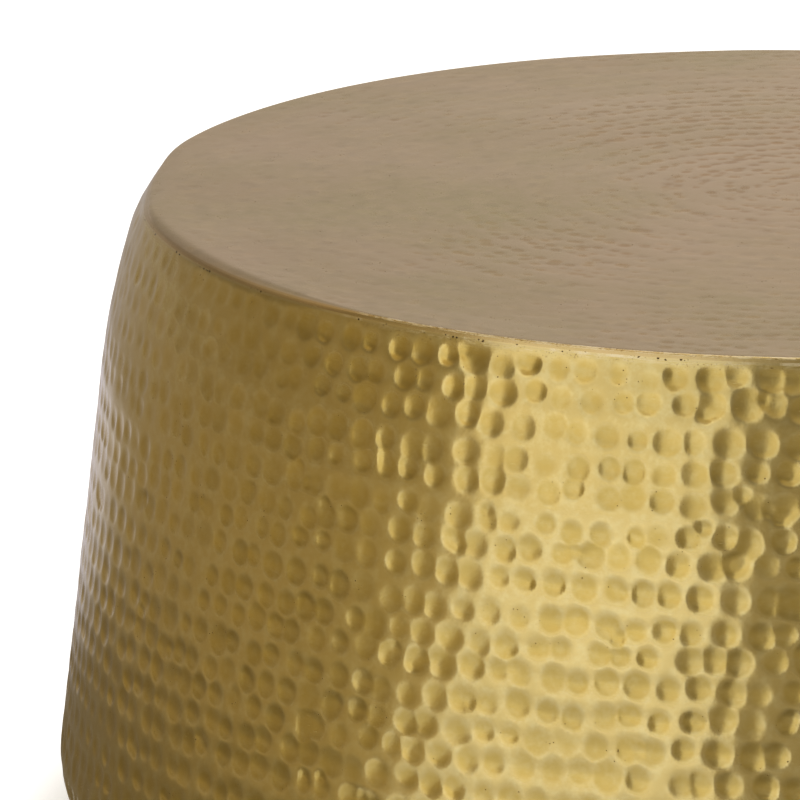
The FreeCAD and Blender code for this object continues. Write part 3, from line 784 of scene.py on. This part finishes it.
rim = [edge for edge in bm.edges if edge.is_boundary]
for part in range(1, BEND_PARTS + 1):
    bend = lip_turn * part / BEND_PARTS
    bend_level = TOP_LEVEL - EDGE_BEND * (1 - math.cos(bend))
    rim = turn_down(bm, rim, flat_radius + EDGE_BEND * math.sin(bend), bend_level)
for reach, level in ((lip_foot.x, LIP_FOOT), (lip_inside, LIP_FOOT), (lip_inside, TOP_LEVEL - SHEET)):
    rim = turn_down(bm, rim, reach, level)
bmesh.ops.contextual_create(bm, geom=rim)
top = new_piece(bm, "hammered_top")

# Its rows of blows are rings, from the edge inwards
TOP_HAMMERING = Hammering(rows=29, first_run=0.0, row_pitch=0.0112, blow_pitch=0.0088, half_width=0.0050,
                          half_height=0.0036, depth=0.00008, lean=0.0, wander=0.0032)
TOP_SEED = 17
OUTER_RING = 0.329


def top_point(run):
    """Point of the top's section and its tilt, at a distance inwards from the outer ring of blows."""
    return Vector((OUTER_RING - run, 0, TOP_LEVEL)), math.pi / 2


top_blows = strike_rows(TOP_HAMMERING, top_point, TOP_SEED)

# The marks are plain in some patches and nearly planished away in others
PATCH_SEED, PATCH_LENGTHS, PATCH_WAVES = 3230, (0.12, 0.35), (-0.1, 0.4)
PATCH_LEAST, PATCH_MORE = 0.32, 0.6
patches = slow_waves(np.array([blow.middle for blow in top_blows]), PATCH_SEED, PATCH_LENGTHS, 1.0)
top_blows = with_force(top_blows, PATCH_LEAST + PATCH_MORE * smooth_step(patches, *PATCH_WAVES))

# The sheet sinks a little between edge and middle, unevenly, and is filed round its corner, where a
# highlight is painted too
HOLLOW_DEPTH, HOLLOW_REACH = 0.00025, (0.335, 0.30)
HOLLOW_SEED, HOLLOW_LENGTHS, HOLLOW_WAVES = 23, (0.06, 0.2), 0.0005
CORNER_BAND, CORNER_DROP = 0.0016, 0.0005
points = mesh_points(top.data)
reach = reach_of(points)
upward = np.zeros_like(points)
upward[:, 2] = 1
hollows = HOLLOW_DEPTH + slow_waves(points, HOLLOW_SEED, HOLLOW_LENGTHS, HOLLOW_WAVES)
hollows *= smooth_step(reach, *HOLLOW_REACH)
hammer(top.data, top_blows, upward, hollows, TOP_HAMMERING.depth)
corner = smooth_step(reach, flat_radius - CORNER_BAND, flat_radius)
corner *= smooth_step(points[:, 2], LIP_FOOT, TOP_LEVEL - CORNER_DROP)
keep_attribute(top.data, "edge", crisp_rim(points) * corner)
soften_rim(top)

top_brass = hammered_brass(
    "hammered_brass_top", land=(0.663, 0.488, 0.252, 1), dish=(0.555, 0.355, 0.125, 1),
    dish_span=(0.2, 0.75), cloud=(0.545, 0.462, 0.182, 1), cloud_scale=4.5, cloud_share=0.8,
    pale=(0.67, 0.517, 0.275, 1), roughness=0.22)
settle(top, top_brass, "top_sheet")


# Solder seam
# A thin fillet of solder that closes the joint under the lip, all the way round.
# It was filed flush by hand, and is pale where it is bare and brown where flux is left in it.

SEAM_STEPS, SEAM_COPIES = 1200, 12
SEAM_PARTS = 4
BEAD_BRASS, BARE_SOLDER = (0.66, 0.54, 0.27, 1), (0.80, 0.70, 0.47, 1)
FLUX_BROWN, SPECK_DARK = (0.22, 0.14, 0.05, 1), (0.10, 0.06, 0.02, 1)
WORN_SCALE = 60.0

bm = bmesh.new()
seam_back_top = bm.verts.new((NECK_RADIUS, 0, LIP_FOOT))
seam_top = draw_run(bm, seam_back_top, lip_foot)
seam_foot = draw_arc(bm, seam_top, fillet_centre, LIP_LEAN - EDGE_TILT, SEAM_PARTS)
seam_back = draw_run(bm, seam_foot, (NECK_RADIUS, 0, WALL_TOP))
bm.edges.new((seam_back, seam_back_top))
turn_round(bm, 2 * math.pi, SEAM_STEPS, SEAM_COPIES)
seam = new_piece(bm, "wiped_solder")
keep_attribute(seam.data, "edge", crisp_rim(mesh_points(seam.data)))
soften_rim(seam)

solder, tree, shader, place = new_material("wiped_solder", metallic=1.0)
worn = noise(tree, place, WORN_SCALE, 4.0, 0.65)
marks = place_group(tree, tarnish, {"Place": place, "Amount": 2.0, "Cloud Scale": 11.0})
crisp = kept_value(tree, "edge")
bare = combine(tree, "MULTIPLY", span(tree, worn, 0.5, 0.66), crisp)
flux = combine(tree, "MULTIPLY", span(tree, worn, 0.36, 0.30, 0, 0.7), crisp)
colour = mix_colours(tree, bare, BEAD_BRASS, BARE_SOLDER)
colour = mix_colours(tree, flux, colour, FLUX_BROWN)
colour = mix_colours(tree, marks["Specks"], colour, SPECK_DARK)
tree.links.new(colour, shader.inputs["Base Color"])
tree.links.new(combine(tree, "MULTIPLY_ADD", bare, 0.12, 0.2), shader.inputs["Roughness"])
settle(seam, solder, "solder_seam")


# Glides and rivets
# Six feet of moulded black nylon under the flange, which keep the brass off the floor.
# Each is held by a zinc-plated rivet, from a recess in its tread up through the flange.

GLIDE_COUNT = 6
NYLON_BLACK, NYLON_GREY = (0.045, 0.045, 0.045, 1), (0.085, 0.083, 0.08, 1)
NYLON_SCALE = 90.0

nylon, tree, shader, place = new_material("black_nylon")
cloud = noise(tree, place, NYLON_SCALE, 5.0)
colour = mix_colours(tree, span(tree, cloud, 0.35, 0.7), NYLON_BLACK, NYLON_GREY)
tree.links.new(colour, shader.inputs["Base Color"])
shader.inputs["Subsurface Weight"].default_value = 0.1
shader.inputs["Subsurface Radius"].default_value = (0.003, 0.002, 0.0015)
tree.links.new(span(tree, cloud, 0.3, 0.7, 0.38, 0.55), shader.inputs["Roughness"])
add_grain(tree, shader, cloud, 0.2, 0.0002)
dress(nylon, *[f"glide_{number}" for number in range(1, GLIDE_COUNT + 1)])
dress(zinc, "glide_rivets")


# Studio
# A plain pale floor, a dim warm room that is lighter at the back, and three soft boxes.
# To the camera the room is white, and so is the floor, but for the shadow by the drum's foot.

scene = bpy.context.scene
scene.view_settings.view_transform = "Standard"

# Floor: the metal mirrors it dim near the drum, brighter further out, and dark beyond that.
# It is see-through from below, so that the underside of the drum can be looked at.
FLOOR_RADIUS, FLOOR_SIDES, FLOOR_LEVEL = 40, 64, -0.0002
FLOOR_PAINT = (0.72, 0.75, 0.79, 1)
DIM_FROM, BRIGHT_FROM, DARK_FROM, DARK_AT = 0.45, 3.1, 3.15, 3.45
DIM_GLOW, BRIGHT_GLOW = 0.27, 0.57
SHADOW_TO, WHITE_FROM = 0.375, 0.43
SHADOW_GLOW, WHITE_GLOW = 0.45, 0.92

bm = bmesh.new()
bmesh.ops.create_circle(bm, cap_ends=True, segments=FLOOR_SIDES, radius=FLOOR_RADIUS,
                        matrix=Matrix.Translation((0, 0, FLOOR_LEVEL)))
floor = new_piece(bm, "floor")
floor.data.flip_normals()
pale_floor, tree, shader, place = new_material("pale_floor")
shader.inputs["Base Color"].default_value = FLOOR_PAINT
shader.inputs["Roughness"].default_value = 0.9
shader.inputs["Emission Color"].default_value = (1, 1, 1, 1)
path = add_node(tree, "LightPath").outputs
mirrored = combine(tree, "MAXIMUM", path["Is Glossy Ray"], path["Is Transmission Ray"])
away = add_node(tree, "VectorMath", {0: place}, operation="LENGTH").outputs["Value"]
glow = span(tree, away, DIM_FROM, BRIGHT_FROM, DIM_GLOW, BRIGHT_GLOW)
glow = combine(tree, "SUBTRACT", glow, span(tree, away, DARK_FROM, DARK_AT, 0.0, BRIGHT_GLOW))
glow = combine(tree, "MULTIPLY", mirrored, glow)
white = span(tree, away, SHADOW_TO, WHITE_FROM, SHADOW_GLOW, WHITE_GLOW)
seen = combine(tree, "MULTIPLY_ADD", path["Is Camera Ray"], white, glow)
tree.links.new(seen, shader.inputs["Emission Strength"])
below = add_node(tree, "NewGeometry").outputs["Backfacing"]
clear = add_node(tree, "BsdfTransparent").outputs[0]
two_sided = add_node(tree, "MixShader", {0: below, 1: shader.outputs[0], 2: clear})
tree.links.new(two_sided.outputs[0], tree.nodes["Material Output"].inputs["Surface"])
floor.data.materials.append(pale_floor)


def ramp(tree, value, stops):
    """A colour ramp through the stops, the first at nought and the last at one."""
    node = add_node(tree, "ValToRGB", {0: value})
    points = node.color_ramp.elements
    for position, colour in stops[1:-1]:
        points.new(position).color = (*colour, 1)
    points[0].color = (*stops[0][1], 1)
    points[-1].color = (*stops[-1][1], 1)
    return node.outputs[0]


# Room by side, in shares of a turn: from the back by the right, the camera and the left to the back again
ROOM_SIDES = ((0.0, (0.62, 0.555, 0.525)), (0.06, (0.56, 0.50, 0.47)), (0.14, (0.42, 0.36, 0.30)),
              (0.25, (0.36, 0.285, 0.175)), (0.45, (0.37, 0.32, 0.23)), (0.55, (0.37, 0.32, 0.23)),
              (0.64, (0.467, 0.38, 0.23)), (0.67, (0.405, 0.328, 0.195)), (0.71, (0.357, 0.281, 0.168)),
              (0.80, (0.308, 0.243, 0.158)), (0.86, (0.308, 0.255, 0.20)), (0.90, (0.345, 0.30, 0.275)),
              (0.94, (0.404, 0.366, 0.366)), (0.97, (0.45, 0.41, 0.388)), (1.0, (0.62, 0.555, 0.525)))
BACK_SPAN = (0.3, 0.7)
room_side, given, wanted = new_group("room_side", {"Place": "Vector"},
                                     {"Level": "Color", "Back": "Float"})
direction = add_node(room_side, "SeparateXYZ", {0: given["Place"]}).outputs
side = combine(room_side, "ARCTAN2", combine(room_side, "MULTIPLY", direction["X"], -1.0),
               combine(room_side, "MULTIPLY", direction["Y"], -1.0))
side = combine(room_side, "MULTIPLY_ADD", side, 0.5 / math.pi, 0.5)
room_side.links.new(ramp(room_side, side, ROOM_SIDES), wanted["Level"])
room_side.links.new(span(room_side, direction["Y"], *BACK_SPAN), wanted["Back"])

# Room by height, from straight down to straight up: its side's colour times this, and the same at the back
ROOM_HEIGHTS = ((0.0, 0.35), (0.46, 0.42), (0.5, 1.02), (0.56, 1.08), (0.60, 1.03), (0.66, 0.78),
                (0.72, 0.75), (0.80, 1.6), (1.0, 1.8))
BACK_HEIGHTS = ((0.0, 0.35), (0.46, 0.5), (0.5, 1.15), (0.57, 1.14), (0.6074, 1.08), (0.6157, 1.0),
                (0.626, 0.845), (0.66, 0.74), (0.72, 0.72), (0.80, 1.3), (1.0, 1.6))
world = bpy.data.worlds.new("room")
scene.world = world
world.use_nodes = True
tree = world.node_tree
place = add_node(tree, "TexCoord").outputs["Generated"]
sides = place_group(tree, room_side, {"Place": place})
rise = combine(tree, "MULTIPLY_ADD", add_node(tree, "SeparateXYZ", {0: place}).outputs["Z"], 0.5, 0.5)
front_level, back_level = [ramp(tree, rise, [(height, (level,) * 3) for height, level in heights])
                           for heights in (ROOM_HEIGHTS, BACK_HEIGHTS)]
level = mix_colours(tree, sides["Back"], front_level, back_level)
room = mix_colours(tree, 1.0, sides["Level"], level, "MULTIPLY")
seen = add_node(tree, "LightPath").outputs["Is Camera Ray"]
tree.links.new(mix_colours(tree, seen, room, (1, 1, 1, 1)), tree.nodes["Background"].inputs["Color"])

# Card just above the floor, which only the metal's mirror images show: it shades one side of the dents.
# It has the room's colour by side, darker near the drum and paler close behind it. It is open towards
# the key light, between two angles in degrees left of the camera.
CARD_NEAR, CARD_SPLIT, CARD_FAR = 0.41, 0.50, 12
CARD_LEVEL = 0.0005
CARD_STEPS = 72
OPEN_FROM, OPEN_TO = 9, 51
DARKER_TO, LIGHTER_FROM = 0.55, 1.3
DARKER, LIGHTER = 0.58, 1.06
PALE_BACK, PALE_SIDES, PALE_REACH = (0.70, 0.67, 0.78, 1), (0.40, 0.82), (1.5, 1.0)

bm = bmesh.new()
for start, sweep, near, far in ((0, 360, CARD_NEAR, CARD_SPLIT),
                                (270 - OPEN_FROM, 360 - OPEN_TO + OPEN_FROM, CARD_SPLIT, CARD_FAR)):
    inner = bm.verts.new((near, 0, CARD_LEVEL))
    outer = bm.verts.new((far, 0, CARD_LEVEL))
    line = bm.edges.new((inner, outer))
    bmesh.ops.rotate(bm, verts=[inner, outer], cent=(0, 0, 0),
                     matrix=Matrix.Rotation(math.radians(start), 3, "Z"))
    bmesh.ops.spin(bm, geom=[inner, outer, line], cent=(0, 0, 0), axis=(0, 0, 1), steps=CARD_STEPS,
                   angle=math.radians(sweep), use_merge=sweep == 360)
card = new_piece(bm, "dim_card")
card.visible_camera = card.visible_diffuse = card.visible_transmission = card.visible_shadow = False
card_paint, tree, shader, place = new_material("dim_card")
shader.inputs["Base Color"].default_value = (0, 0, 0, 1)
shader.inputs["Roughness"].default_value = 1
shader.inputs["Emission Strength"].default_value = 1
away = add_node(tree, "VectorMath", {0: place}, operation="LENGTH").outputs["Value"]
level = span(tree, away, DARKER_TO, LIGHTER_FROM, DARKER, LIGHTER)
dim = mix_colours(tree, 1.0, place_group(tree, room_side, {"Place": place})["Level"], level, "MULTIPLY")
outwards = add_node(tree, "VectorMath", {0: place}, operation="NORMALIZE").outputs["Vector"]
behind = add_node(tree, "SeparateXYZ", {0: outwards}).outputs["Y"]
paler = combine(tree, "MULTIPLY", span(tree, behind, *PALE_SIDES), span(tree, away, *PALE_REACH))
tree.links.new(mix_colours(tree, paler, dim, PALE_BACK), shader.inputs["Emission Color"])
card.data.materials.append(card_paint)

LIGHT_AIM = Vector((0, 0, 0.2))


def soft_light(name, side, height, distance, size, radiance):
    """A soft box that faces the drum, at an angle left of the camera's side."""
    lamp = bpy.data.lights.new(name, "AREA")
    lamp.shape = "RECTANGLE"
    lamp.size, lamp.size_y = size
    lamp.energy = radiance * math.pi * size[0] * size[1]
    light = bpy.data.objects.new(name, lamp)
    scene.collection.objects.link(light)
    angle = math.radians(side)
    light.location = (-distance * math.sin(angle), -distance * math.cos(angle), height)
    light.rotation_euler = (LIGHT_AIM - light.location).to_track_quat("-Z", "Y").to_euler()
    light.visible_camera = False


soft_light("key", side=30, height=0.95, distance=3.0, size=(2.25, 2.4), radiance=0.69)
soft_light("fill", side=-120, height=0.9, distance=3.2, size=(1.6, 1.8), radiance=0.5)
soft_light("overhead", side=0, height=3.2, distance=0.001, size=(1.8, 1.8), radiance=0.9)

# Camera: the photograph's own place and angle, with the middle of the top at its pixel
CAMERA_DISTANCE = 3.353
CAMERA_RISE = math.radians(13.38)
FOCAL_PIXELS, FRAME_PIXELS, SENSOR = 6574, 800, 36
TOP_MIDDLE_PIXEL = (801, 189)
right = (TOP_MIDDLE_PIXEL[0] - FRAME_PIXELS / 2) / FOCAL_PIXELS
above = (FRAME_PIXELS / 2 - TOP_MIDDLE_PIXEL[1]) / FOCAL_PIXELS
ray = math.sqrt(right ** 2 + above ** 2 + 1)
pitch = math.asin(-math.sin(CAMERA_RISE) * ray / math.sqrt(1 + above ** 2)) - math.atan(above)
yaw = math.atan2(right, math.cos(pitch) - above * math.sin(pitch))
lens = bpy.data.cameras.new("camera")
lens.sensor_width = SENSOR
lens.lens = FOCAL_PIXELS / FRAME_PIXELS * SENSOR
camera = bpy.data.objects.new("camera", lens)
camera.location = (0, -CAMERA_DISTANCE * math.cos(CAMERA_RISE),
                   TOP_LEVEL + CAMERA_DISTANCE * math.sin(CAMERA_RISE))
camera.rotation_euler = (math.pi / 2 + pitch, 0, yaw)
scene.collection.objects.link(camera)
scene.camera = camera
